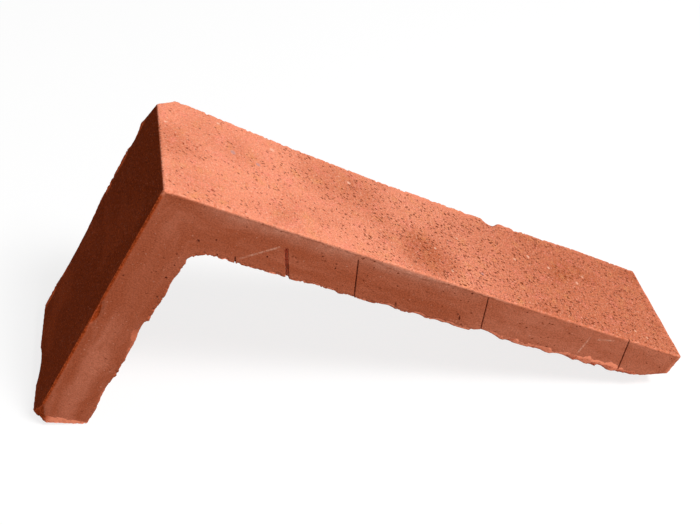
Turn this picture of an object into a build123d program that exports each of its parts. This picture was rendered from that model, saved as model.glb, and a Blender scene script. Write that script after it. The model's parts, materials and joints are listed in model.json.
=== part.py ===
"""Corner brick slip: a thin L of fired clay that wraps the outside corner of a wall.

It is one solid. It stands as a tent on the inner edges of its two leg ends, with the corner upwards.

The slip is shaped in u, v and w, and stood up last. u runs along the long outer face from the outside
corner, v goes inward from that face, and w goes from the front bed to the rear bed.
Standing, its frame is millimetres, +Z up, +X along the line of the two feet and +Y along w.
The origin is on the floor, under the middle of the slip's bounding box.
"""
import os
from math import atan2, degrees, sin, sqrt

from build123d import *

# Section. Both legs are measured from the outside corner to the inner edge of the leg's end.
LONG_LEG = 218.3
SHORT_LEG = 107.6
THICKNESS = 18.6          # outer face to back, of the long leg
SHORT_THICKNESS = 18.0    # the same, of the short leg
INNER_RADIUS = 6.0        # hollow fillet between the two backs
HEIGHT = 50.0             # bed to bed

# Rough ends. Each outer edge reaches this much further than the inner one, at the bed named.
LONG_END_FRONT = -2.6
LONG_END_REAR = -4.2
SHORT_END_FRONT = 5.2
SHORT_END_REAR = -3.8

# Rear bed of the long leg, which bows in
BOW_START = 12.0          # from the outside corner
BOW_END = 180.0
BOW_DEPTH = 3.3           # in the middle, below the line between its ends
BOW_END_DROP = 2.0        # the end of the bow, and the bed beyond it, below its start

# Worn edges and corners
FACE_ARRIS = 0.8          # rounding where an outer face meets the front bed
CORNER_ARRIS = 0.9        # rounding where the two outer faces meet
FOOT_RADIUS = 1.2         # rounding of the two edges on which the slip stands
WORN_CORNER_REACH = 6.0   # rear end of the outside corner: how far the wear runs along each edge
WORN_CORNER_RADIUS = 15.0

# Corners broken off flat, as the reach along u, v and w
TOE_BREAK = (5.0, 12.4, 5.7)          # outer front corner of the short leg's end
LONG_TIP_BREAK = (21.0, 9.6, 9.0)     # inner front corner of the long leg's end
LONG_HEEL_BREAK = (2.5, 6.0, 6.0)     # outer rear corner of the long leg's end
CORNER_BREAK = (7.0, 13.0, 5.5)       # rear end of the outside corner, over its wear

# Front edge of the backs, torn into shallow flakes that deepen towards the long leg's end
TEAR_START = 34.0         # from the outside corner, on either leg
TEAR_BED = 4.5            # reach into the bed at the long leg's end
TEAR_BACK = 3.0           # reach into the back at the long leg's end
FLAKE_PITCH = 8.5         # from one flake to the next
FLAKE_HALF_LENGTH = 4.6
FLAKE_REACH = 0.7         # how much further than the tear a flake bites
SHORT_FLAKE_LENGTH = 1.4  # how many times longer the short back's flakes are
SHORT_FLAKE_REACH = 2.0   # how many times further they bite
FLAKE_UNEVEN = 0.35       # share by which places and sizes of flakes vary
WOBBLE_STEP = 2.4         # radians of wobble from one flake to the next
FLAKE_ROOM = 1.1          # a flake's cutter ends this far out, in half lengths, short of the other leg

# Flakes off single edges: distance from the outside corner, half length and the reaches into both faces
SPALL = (55.5, 9.0, 2.9, 1.0)                 # front edge of the short outer face: bed, face
SHORT_BACK_FLAKE = (58.0, 6.5, 3.4, 3.6)      # front edge of the short back: bed, back
SHORT_END_FLAKE = (25.0, 8.5, 3.0, 2.4)       # outer edge of the short leg's end, from the front bed: face, end
LONG_BACK_FLAKES = (                          # front edge of the long back: bed, back
    (133.0, 9.0, 3.8, 4.2),
    (170.0, 9.0, 4.2, 3.6),
    (190.0, 3.6, 4.6, 4.0),
    (198.5, 2.6, 4.4, 4.0),
    (206.0, 3.6, 5.0, 5.0),
)
SHORT_REAR_FLAKES = (                         # rear edge of the short outer face: face, bed
    (18.5, 6.0, 2.0, 2.0),
    (70.0, 24.0, 2.4, 2.0),
)
REAR_CHIPS = (                                # rear edge of the long outer face: face, bed
    (125.5, 2.2, 0.8, 1.2),
    (137.0, 4.6, 2.6, 2.8),
    (150.0, 3.2, 0.8, 1.4),
)

# Grooves cut across the front bed and out through the back: start in u and v, width, depth, and slant in
# degrees from v towards u
GROOVES = (
    (44.9, 7.2, 1.0, 1.5, 29.5),
    (69.3, 2.8, 0.5, 0.9, 26.0),
    (121.8, 1.2, 0.5, 0.9, 25.5),
    (187.7, -1.0, 0.6, 1.1, 24.5),
)

MARGIN = 5.0              # how far a cutter passes the surface that it cuts

ALONG_U = Vector(1, 0, 0)
ALONG_V = Vector(0, 1, 0)
ALONG_W = Vector(0, 0, 1)


def wobble(step, share=FLAKE_UNEVEN):
    """A repeatable factor that swings about 1 by the share."""
    return 1 + share * sin(WOBBLE_STEP * step)


def upright_edge(body, u, v):
    """The edge that runs bed to bed through (u, v)."""
    return body.edges().sort_by_distance((u, v, HEIGHT / 2))[0]


def make_legs():
    """The plain L, a little too long at both ends."""
    long_end = LONG_LEG + MARGIN
    short_end = SHORT_LEG + SHORT_END_FRONT + MARGIN
    outline = Polyline(
        (0, 0),
        (long_end, 0),
        (long_end, THICKNESS),
        (SHORT_THICKNESS, THICKNESS),
        (SHORT_THICKNESS, short_end),
        (0, short_end),
        close=True,
    )
    body = extrude(make_face(outline), amount=HEIGHT)
    body = fillet(upright_edge(body, SHORT_THICKNESS, THICKNESS), INNER_RADIUS)
    return fillet(upright_edge(body, 0, 0), CORNER_ARRIS)


def end_cutter(leg, thickness, front, rear, swap):
    """What lies past a rough end. Its inner edge is straight and level, and its outer edge slants."""
    sections = []
    for w in (-MARGIN, HEIGHT + MARGIN):
        extra = front + (rear - front) * w / HEIGHT
        slope = extra / thickness
        corners = [
            (leg + extra + slope * MARGIN, -MARGIN),
            (leg - slope * MARGIN, thickness + MARGIN),
            (leg + 4 * MARGIN, thickness + MARGIN),
            (leg + 4 * MARGIN, -MARGIN),
        ]
        if swap:
            corners = [(v, u) for u, v in corners]
        sections.append(Pos(0, 0, w) * make_face(Polyline(*corners, close=True)))
    return loft(sections, ruled=True)


def rear_edge(u):
    """Height of the long leg's rear bed at u."""
    along = min(1, (u - BOW_START) / (BOW_END - BOW_START))
    return HEIGHT - BOW_END_DROP * along - 4 * BOW_DEPTH * along * (1 - along)


def bow_cutter():
    """What lies past the rear bed of the long leg, bowed and then level."""
    middle = (BOW_START + BOW_END) / 2
    past_end = LONG_LEG + 2 * MARGIN
    above = HEIGHT + MARGIN
    arc = ThreePointArc((BOW_START, HEIGHT), (middle, rear_edge(middle)), (BOW_END, rear_edge(BOW_END)))
    rest = Polyline(
        (BOW_END, rear_edge(BOW_END)),
        (past_end, rear_edge(BOW_END)),
        (past_end, above),
        (BOW_START, above),
        (BOW_START, HEIGHT),
    )
    across = Plane(origin=(0, -MARGIN, 0), x_dir=(1, 0, 0), z_dir=(0, -1, 0))
    depth = 2 * MARGIN + THICKNESS + INNER_RADIUS
    return extrude(across * make_face(arc + rest), amount=-depth)


def broken_corner(corner, reach_u, reach_v, reach_w):
    """What a flat break takes off a corner. Each reach is signed, into the slip."""
    on_u = corner + ALONG_U * reach_u
    on_v = corner + ALONG_V * reach_v
    on_w = corner + ALONG_W * reach_w
    middle = (on_u + on_v + on_w) * (1 / 3)
    outward = (on_v - on_u).cross(on_w - on_u).normalized()
    if outward.dot(corner - middle) < 0:
        outward = outward * -1
    size = 2 * max(abs(reach_u), abs(reach_v), abs(reach_w))
    block = Box(size, size, size, align=(Align.CENTER, Align.CENTER, Align.MIN))
    return Plane(origin=middle, z_dir=outward) * block


def worn_corner():
    """What wear takes off the rear end of the outside corner, leaving a ball's surface."""
    reach = WORN_CORNER_REACH
    inset = (reach + sqrt(3 * WORN_CORNER_RADIUS ** 2 - 2 * reach ** 2)) / 3
    low = Align.MIN
    block = Pos(-MARGIN, -MARGIN, HEIGHT - inset) * Box(*[inset + MARGIN] * 3, align=(low, low, low))
    return block - Pos(inset, inset, HEIGHT - inset) * Sphere(WORN_CORNER_RADIUS)


def flake(point, into_a, into_b, half_length, reach_a, reach_b):
    """The near part of a ball, which takes a shallow flake off an edge.

    It meets the edge over twice the half length, and reaches into the two faces beside it.
    """
    out_a = (half_length ** 2 - reach_a ** 2) / (2 * reach_a)
    out_b = (half_length ** 2 - reach_b ** 2) / (2 * reach_b)
    centre = point - into_a * out_a - into_b * out_b
    ball = Pos(*centre) * Sphere(sqrt(out_a ** 2 + out_b ** 2 + half_length ** 2))
    return ball & Pos(*point) * Box(*[2 * FLAKE_ROOM * half_length] * 3)


def tear_section(u, bed_reach, back_reach):
    """Triangle across the long back's front edge. Its long side leaves the bed and back by the reaches."""
    across = Plane(origin=(u, 0, 0), x_dir=(0, 1, 0), z_dir=(1, 0, 0))
    outside = THICKNESS + bed_reach
    corners = [(THICKNESS - 2 * bed_reach, -back_reach), (outside, 2 * back_reach), (outside, -back_reach)]
    return across * make_face(Polyline(*corners, close=True))


def torn_long_back():
    """Cutters for the long back's front edge: a growing bevel, and the flakes along it."""
    thin = 0.02
    span = LONG_LEG - TEAR_START
    grown_end = 1 + MARGIN / span
    first = tear_section(TEAR_START, TEAR_BED * thin, TEAR_BACK * thin)
    last = tear_section(LONG_LEG + MARGIN, TEAR_BED * grown_end, TEAR_BACK * grown_end)
    cutters = [loft([first, last], ruled=True)]
    for step in range(1, int(span / FLAKE_PITCH)):
        u = TEAR_START + FLAKE_PITCH * (step + wobble(step) - 1)
        grown = (u - TEAR_START) / span
        bite = FLAKE_REACH * wobble(2 * step)
        cutters.append(flake(
            Vector(u, THICKNESS, 0), -ALONG_V, ALONG_W, FLAKE_HALF_LENGTH * wobble(3 * step, FLAKE_UNEVEN / 2),
            TEAR_BED * grown + bite, TEAR_BACK * grown + bite,
        ))
    for u, *sizes in LONG_BACK_FLAKES:
        cutters.append(flake(Vector(u, THICKNESS, 0), -ALONG_V, ALONG_W, *sizes))
    return cutters


def torn_short_back():
    """Cutters for the short back's front edge: small flakes and one deep one."""
    cutters = []
    for step in range(int((SHORT_LEG - TEAR_START) / FLAKE_PITCH)):
        v = TEAR_START + FLAKE_PITCH * (step + wobble(step) - 1)
        bite = SHORT_FLAKE_REACH * FLAKE_REACH * wobble(2 * step)
        half_length = SHORT_FLAKE_LENGTH * FLAKE_HALF_LENGTH * wobble(3 * step, FLAKE_UNEVEN / 2)
        cutters.append(flake(Vector(SHORT_THICKNESS, v, 0), -ALONG_U, ALONG_W, half_length, bite, bite))
    v, *sizes = SHORT_BACK_FLAKE
    cutters.append(flake(Vector(SHORT_THICKNESS, v, 0), -ALONG_U, ALONG_W, *sizes))
    return cutters


def chips():
    """Cutters for the single flakes and the broken or worn corners."""
    toe_u, toe_v, toe_w = TOE_BREAK
    tip_u, tip_v, tip_w = LONG_TIP_BREAK
    heel_u, heel_v, heel_w = LONG_HEEL_BREAK
    corner_u, corner_v, corner_w = CORNER_BREAK
    cutters = [
        broken_corner(Vector(0, SHORT_LEG + SHORT_END_FRONT, 0), toe_u, -toe_v, toe_w),
        broken_corner(Vector(LONG_LEG, THICKNESS, 0), -tip_u, -tip_v, tip_w),
        broken_corner(Vector(LONG_LEG, 0, rear_edge(LONG_LEG)), -heel_u, heel_v, -heel_w),
        broken_corner(Vector(0, 0, HEIGHT), corner_u, corner_v, -corner_w),
        worn_corner(),
    ]
    v, *sizes = SPALL
    cutters.append(flake(Vector(0, v, 0), ALONG_U, ALONG_W, *sizes))
    w, *sizes = SHORT_END_FLAKE
    end = SHORT_LEG + SHORT_END_FRONT + (SHORT_END_REAR - SHORT_END_FRONT) * w / HEIGHT
    cutters.append(flake(Vector(0, end, w), -ALONG_V, ALONG_U, *sizes))
    for v, *sizes in SHORT_REAR_FLAKES:
        cutters.append(flake(Vector(0, v, HEIGHT), -ALONG_W, ALONG_U, *sizes))
    for u, *sizes in REAR_CHIPS:
        cutters.append(flake(Vector(u, 0, rear_edge(u)), -ALONG_W, ALONG_V, *sizes))
    return cutters


def grooves():
    """Cutters for the grooves, which run slantwise off the front bed through the back."""
    cutters = []
    for u, v, width, depth, slant in GROOVES:
        slot = Box(width, 2 * THICKNESS, 2 * depth, align=(Align.CENTER, Align.MIN, Align.CENTER))
        cutters.append(Pos(u, v, 0) * Rot(0, 0, -slant) * slot)
    return cutters


def round_edges(body):
    """Soften the front edges of the outer faces, and the two edges that the slip stands on."""
    front = body.faces().filter_by(Plane.XY).sort_by(Axis.Z)[0]
    long_edge = front.edges().filter_by(Axis.X).sort_by(Axis.Y)[0]
    short_edge = front.edges().filter_by(Axis.Y).sort_by(Axis.X)[0]
    body = fillet([long_edge, short_edge], FACE_ARRIS)
    body = fillet(upright_edge(body, LONG_LEG, THICKNESS), FOOT_RADIUS)
    return fillet(upright_edge(body, SHORT_THICKNESS, SHORT_LEG), FOOT_RADIUS)


def stand_on_feet(body):
    """Stand the slip on its two feet, and centre it over the origin."""
    lean = atan2(SHORT_LEG - THICKNESS, LONG_LEG - SHORT_THICKNESS)
    body = Rot(0, degrees(lean), 0) * Rot(-90, 0, 0) * body
    box = body.bounding_box()
    return Pos(-box.center().X, -box.center().Y, -box.min.Z) * body


def main():
    """Write the slip's STEP file."""
    slip = make_legs()
    slip -= end_cutter(LONG_LEG, THICKNESS, LONG_END_FRONT, LONG_END_REAR, swap=False)
    slip -= end_cutter(SHORT_LEG, SHORT_THICKNESS, SHORT_END_FRONT, SHORT_END_REAR, swap=True)
    slip = round_edges(slip)
    slip -= bow_cutter()
    for cutter in torn_long_back() + torn_short_back() + chips() + grooves():
        slip -= cutter
    os.makedirs("parts", exist_ok=True)
    export_step(stand_on_feet(slip), "parts/corner_slip.step")


main()
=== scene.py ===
"""Looks of a corner brick slip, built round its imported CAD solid.

Lengths are metres. The slip is shaped and coloured in its own axes: u runs along the long outer face
from the outside corner, v goes inward from that face, and w goes from the front bed to the rear bed.
The finished slip is then placed in the frame.
"""
import json
from math import cos, pi, radians, sin

import bmesh
import bpy
import numpy as np
from bpy.props import FloatProperty, FloatVectorProperty, IntProperty, PointerProperty
from mathutils import Euler, Matrix, Vector
from mathutils.kdtree import KDTree


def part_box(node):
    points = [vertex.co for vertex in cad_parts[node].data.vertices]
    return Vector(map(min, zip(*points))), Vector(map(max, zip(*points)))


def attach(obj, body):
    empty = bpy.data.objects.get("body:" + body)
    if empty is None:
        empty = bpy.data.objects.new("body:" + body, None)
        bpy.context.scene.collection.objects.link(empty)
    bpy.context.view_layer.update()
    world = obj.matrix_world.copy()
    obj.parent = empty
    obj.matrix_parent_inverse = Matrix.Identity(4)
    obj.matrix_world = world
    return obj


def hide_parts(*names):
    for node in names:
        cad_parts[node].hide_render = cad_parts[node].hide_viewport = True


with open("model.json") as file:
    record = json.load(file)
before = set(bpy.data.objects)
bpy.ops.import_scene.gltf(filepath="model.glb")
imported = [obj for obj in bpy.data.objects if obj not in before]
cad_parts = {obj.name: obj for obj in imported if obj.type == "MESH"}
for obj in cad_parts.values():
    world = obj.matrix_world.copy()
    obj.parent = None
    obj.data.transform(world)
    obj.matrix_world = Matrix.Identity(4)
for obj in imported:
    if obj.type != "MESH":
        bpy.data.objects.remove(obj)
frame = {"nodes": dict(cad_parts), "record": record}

bl_info = {
    "name": "Corner Brick Slip",
    "version": (1, 0, 0),
    "blender": (4, 5, 0),
    "location": "3D View > Sidebar > Brick Slip",
    "description": "Gives a corner brick slip its fired clay, and sets it on a white floor",
    "category": "Object",
}

MM = 0.001
NODE = "corner_slip"

# Distances off the solid's plain faces over which a mask fades
OF_FACE = (0.30 * MM, 0.65 * MM)
OF_ARRIS = (0.30 * MM, 1.80 * MM)
OF_END = (0.30 * MM, 2.00 * MM)
OF_BREAK = (0.32 * MM, 0.60 * MM)
# Torn rim beside the long back: how far its mask reaches from the torn clay, and where it ends along u
RIM_REACH = 4 * MM
RIM_END = 209 * MM
# Clay is torn this far off every plain face, or this near a back, and a bed's clay is this near the bed
RIM_TORN = 0.45 * MM
RIM_BACK = 0.3 * MM
RIM_BED = 0.6 * MM
# Seeds of the stones and blades, apart from the seed of what the node trees strew
STONE_SEED = 11
BLADE_SEED = 7
# Spacing of the rings of a groove's blade, in millimetres
BLADE_STEP = 0.8
# Angle between two faces past which their edge is shaded sharp
SHARP = radians(28)
# Stage: half the floor's width, and the key light's direction, distance and width
FLOOR_REACH = 3.0
KEY_DIRECTION = (0.385, -0.36, 0.85)
KEY_DISTANCE = 1.3
KEY_WIDTH = 0.35

# Places on the slip, in millimetres of its own axes
# Stretches along u: the lip, the rear bed's swell, the long face's painted shade at its far end, and the
# dusting's
LIP = (34.0, 122.0)
SWELL = (108.0, 140.0)
FAR_END_SHADE = (92.0, 160.0)
DUSTING = (30.0, 110.0)
# The lip's bulge: its middle in u, its reach, and the lip's width in the bulge and past it
LIP_BULGE = (89.0, 24.0, 2.0, 0.8)
# Line of the break along the short leg's foot: v at u = 0, and how v changes with u
FOOT_BREAK = (107.4, -0.08)
# Grooves across the front bed: start in u and v, width, depth, length, and slant in degrees from v to u
GROOVES = (
    (45.2, 7.4, 1.15, 1.6, 20.0, 29.5),
    (69.3, 2.8, 0.60, 1.0, 20.0, 26.0),
    (121.8, 1.2, 0.55, 1.0, 20.0, 25.5),
    (187.9, -0.6, 0.65, 1.2, 24.0, 24.5),
    (31.4, 16.2, 0.70, 0.9, 3.0, 24.0),
    (91.8, 15.2, 0.70, 0.9, 3.0, 30.0),
    (117.2, 12.6, 0.60, 0.7, 1.8, 30.0),
)
# Single pits of the long outer face: u, w and radius
FACE_PITS = (
    (16.3, 7.8, 0.5), (12.8, 27.9, 0.45), (9.2, 25.4, 0.5), (8.0, 27.4, 0.45), (5.4, 30.3, 0.45),
    (10.0, 19.0, 0.35), (8.2, 6.3, 0.35), (40.9, 11.9, 0.45), (36.7, 10.5, 0.4), (48.9, 18.1, 0.35),
    (99.0, 18.0, 0.5), (2.5, 21.0, 0.35), (79.0, 33.0, 0.4), (197.0, 19.0, 0.4), (200.0, 15.0, 0.4),
    (199.0, 31.0, 0.4), (172.0, 14.0, 0.4), (158.0, 19.0, 0.4),
)
# Single pits of the front bed: u, v and radius
BED_PITS = (
    (17.7, 14.4, 0.65), (40.8, 12.5, 0.4), (57.5, 5.8, 0.4), (64.0, 8.8, 0.35), (116.0, 12.2, 0.5),
    (115.0, 1.7, 0.5), (140.0, 2.3, 0.4), (2.2, 36.0, 0.35), (13.9, 21.8, 0.35), (15.2, 26.4, 0.4),
    (15.0, 32.2, 0.5), (15.7, 40.9, 0.45), (22.7, 12.0, 0.35), (25.6, 17.4, 0.4),
)
# Cream flecks of the long outer face, and a few grey-blue ones: u, w and radius
CREAM_FLECKS = (
    (41.7, 41.7, 0.8), (2.5, 36.0, 0.5), (22.0, 46.0, 0.6), (71.7, 38.3, 0.7), (103.0, 16.7, 0.6),
    (107.5, 7.0, 0.5), (115.7, 27.3, 0.5), (142.5, 26.7, 0.6), (150.8, 31.7, 0.7), (160.0, 29.0, 0.6),
    (173.0, 25.4, 0.7), (178.0, 30.8, 0.5), (194.6, 7.0, 0.5), (200.0, 5.0, 0.5),
)
BLUE_FLECKS = ((26.0, 32.0, 0.9), (35.0, 30.0, 0.8), (122.0, 11.0, 0.6))
# Darker blotches of the long outer face: middle in u and w, radius, strength
BLOTCHES = (
    (64.0, 36.0, 12.0, 0.45), (73.0, 33.0, 12.0, 0.50), (79.0, 27.0, 9.0, 0.40), (98.0, 13.0, 12.0, 0.80),
    (108.0, 24.0, 10.0, 0.35), (17.0, 38.0, 8.0, 0.22), (29.0, 34.0, 7.0, 0.30), (11.0, 9.0, 9.0, 0.22),
    (4.0, 27.0, 9.0, 0.45),
)
# Pale scratches of the front bed: start and end in u and v
SCRATCHES = (
    ((171.9, 4.6), (172.8, 14.5)),
    ((175.8, 4.2), (182.0, 2.5)),
    ((33.3, 16.0), (42.5, 7.5)),
)
# Shallow scallops out of the arrises: middle in u, v and w, and the three half lengths
SCALLOPS = (
    ((18.6, 88.0, -0.2), (1.7, 9.0, 3.0)),
    ((18.6, 61.0, -0.4), (1.5, 5.0, 1.8)),
)
# Masks on which chips and pores are cut, and how densely they lie there
CHIPPED = {"front_arris": 0.02, "rear_arris": 0.4, "back_arris": 0.55, "end_arris": 0.15}
PORED = {"long_face": 1.0, "short_face": 0.6, "bed": 0.04}


# Properties


def length(name, description, default):
    """A length property in metres."""
    return FloatProperty(
        name=name, description=description, default=default, min=0.0, unit="LENGTH", precision=5
    )


def offset(name, description, default):
    """A signed length property in metres."""
    return FloatProperty(name=name, description=description, default=default, unit="LENGTH", precision=5)


def colour(name, description, default):
    """A colour property, linear as Blender keeps it."""
    return FloatVectorProperty(
        name=name, description=description, default=default, size=3, min=0.0, max=1.0, subtype="COLOR"
    )


class SlipSizes(bpy.types.PropertyGroup):
    """Plain faces of the solid, which tell sound clay from broken clay."""

    thickness: length("Thickness", "Long outer face to its back", 18.6 * MM)
    short_thickness: length("Short thickness", "Short outer face to its back", 18 * MM)
    hollow_radius: length("Hollow radius", "Fillet between the two backs", 6 * MM)
    bed_height: length("Height", "Front bed to rear bed, at the outside corner", 50 * MM)
    bow_start: length("Bow start", "Where the rear bed starts to bow in", 12 * MM)
    bow_end: length("Bow end", "Where the bow ends, on the long leg", 180 * MM)
    bow_depth: length("Bow depth", "How far the rear bed bows in, halfway", 3.3 * MM)
    bow_drop: length("Bow drop", "How much lower the bow ends than it starts", 2 * MM)
    swell_height: length("Swell height", "Rise of the rear bed halfway along the long leg", 0.5 * MM)
    long_leg: length("Long leg", "Outside corner to the inner edge of the long leg's end", 218.3 * MM)
    long_front: offset("Long end, front", "Outer edge past the inner one, at the front bed", -2.6 * MM)
    long_rear: offset("Long end, rear", "The same at the rear bed", -4.2 * MM)
    short_leg: length("Short leg", "Outside corner to the inner edge of the short leg's end", 107.6 * MM)
    short_front: offset("Short end, front", "Outer edge past the inner one, at the front bed", 5.2 * MM)
    short_rear: offset("Short end, rear", "The same at the rear bed", -3.8 * MM)


class SlipRelief(bpy.types.PropertyGroup):
    """Sizes of the clay's relief."""

    mesh_step: length("Mesh step", "Spacing of the fine mesh", 0.42 * MM)
    wave_size: length("Wave size", "Width of the gentle hollows", 28 * MM)
    wave_depth: length("Wave depth", "Depth of the gentle hollows", 0.2 * MM)
    grain_size: length("Grain size", "Width of the clay's grains", 1.3 * MM)
    grain_depth: length("Grain depth", "Depth between the clay's grains", 0.12 * MM)
    ragged_size: length("Ragged size", "Width of the lumps on broken clay", 4 * MM)
    ragged_depth: length("Ragged depth", "Height between the lumps on broken clay", 1.8 * MM)
    nick_size: length("Nick size", "Spacing of the nicks along the arrises", 2.0 * MM)
    nick_depth: length("Nick depth", "Depth of the nicks along the arrises", 0.7 * MM)
    lip_height: length("Lip height", "Step of the lip beside the bed's long arris", 0.06 * MM)
    pore_radius: length("Pore radius", "Largest radius of an open pore", 0.42 * MM)
    pore_density: FloatProperty(
        name="Pore density", description="Open pores per square metre of face", default=22000.0, min=0.0
    )
    chip_radius: length("Chip radius", "Largest radius of a chip off an arris", 0.95 * MM)
    chip_density: FloatProperty(
        name="Chip density", description="Chips per square metre of arris", default=130000.0, min=0.0
    )
    seed: IntProperty(name="Seed", description="Seed of everything that is scattered", default=4)
    triangles: IntProperty(
        name="Triangles", description="Most triangles before anything is cut", default=148000, min=1000
    )


class SlipColours(bpy.types.PropertyGroup):
    """Colours of the fired clay, among them painted shade and highlights."""

    long_face: colour("Long face", "Long outer face", (0.83, 0.275, 0.160))
    # Deeper clay of the blotches and grain; where it darkens the long face's far end it is painted shade.
    long_face_deep: colour("Long face, deeper", "Blotches and far end of that face", (0.46, 0.103, 0.037))
    ochre: colour("Ochre", "Yellower clay", (0.74, 0.28, 0.105))
    pink: colour("Pink", "Pinker clay", (0.86, 0.24, 0.175))
    # The short face's dark colour is partly the clay's own and partly painted shade.
    short_face: colour("Short face", "Short outer face", (0.228, 0.0285, 0.0024))
    bed: colour("Beds", "The smooth beds", (0.36, 0.083, 0.035))
    bed_light: colour("Beds, smeared", "Paler smears on the beds", (0.53, 0.165, 0.092))
    back: colour("Backs", "The two backs", (0.56, 0.16, 0.085))
    # The lip colour is partly the clay's pale tone and partly painted highlight; beside the lip it is
    # painted as highlight alone.
    lip: colour("Lip", "The pale lip beside the bed's long arris", (0.56, 0.225, 0.145))
    broken: colour("Broken clay", "Raw clay on breaks and arrises", (0.90, 0.285, 0.16))
    toe: colour("Toe", "Raw clay about the short outer face", (0.74, 0.125, 0.034))
    # Painted shade: this dark colour is laid inside the grooves and pits and along the lip's foot.
    groove: colour("Grooves", "Inside of the grooves", (0.16, 0.030, 0.012))
    # Painted shade: this dark colour marks the pores, as the shade inside them.
    pore: colour("Pores", "Depth of the pores", (0.19, 0.034, 0.012))
    fleck: colour("Flecks", "Pale grains in the clay", (0.95, 0.58, 0.42))
    blue_fleck: colour("Blue flecks", "Rare grey-blue grains in the clay", (0.42, 0.27, 0.28))


class SlipStage(bpy.types.PropertyGroup):
    """Camera and light."""

    camera_from_corner: FloatVectorProperty(
        name="Camera place", description="From the front end of the outside corner",
        default=(-0.01149, -0.24591, 0.19714), size=3, subtype="TRANSLATION", unit="LENGTH",
    )
    camera_turn: FloatVectorProperty(
        name="Camera turn", description="Turn about X, then Y, then Z",
        default=(radians(47.8696), radians(-6.6120), radians(-10.1551)), size=3, subtype="EULER",
    )
    lens: FloatProperty(
        name="Lens", description="Focal length in mm on a 36 mm sensor", default=54.409, min=1.0
    )
    key_level: FloatProperty(
        name="Key light", description="Brightness of a white surface that faces it", default=1.05, min=0.0
    )
    fill_level: FloatProperty(
        name="Fill light", description="Brightness that light from all round adds", default=0.22, min=0.0
    )


# Axes of the slip


def slip_axes(sizes):
    """Matrix from the slip's own axes to the frame, taken from the mounts on its two backs."""
    mounts = {mount["name"]: mount for mount in frame["record"]["mounts"]}
    along = Vector(mounts["back_short"]["axis"]).normalized()
    inward = Vector(mounts["back_long"]["axis"]).normalized()
    across = along.cross(inward)
    corner = (
        along * (along.dot(Vector(mounts["back_short"]["pos_m"])) - sizes.short_thickness)
        + inward * (inward.dot(Vector(mounts["back_long"]["pos_m"])) - sizes.thickness)
        + across * across.dot(Vector(mounts["front_bed"]["pos_m"]))
    )
    turned = Matrix((along, inward, across)).transposed().to_4x4()
    return Matrix.Translation(corner) @ turned


# Node trees


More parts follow.
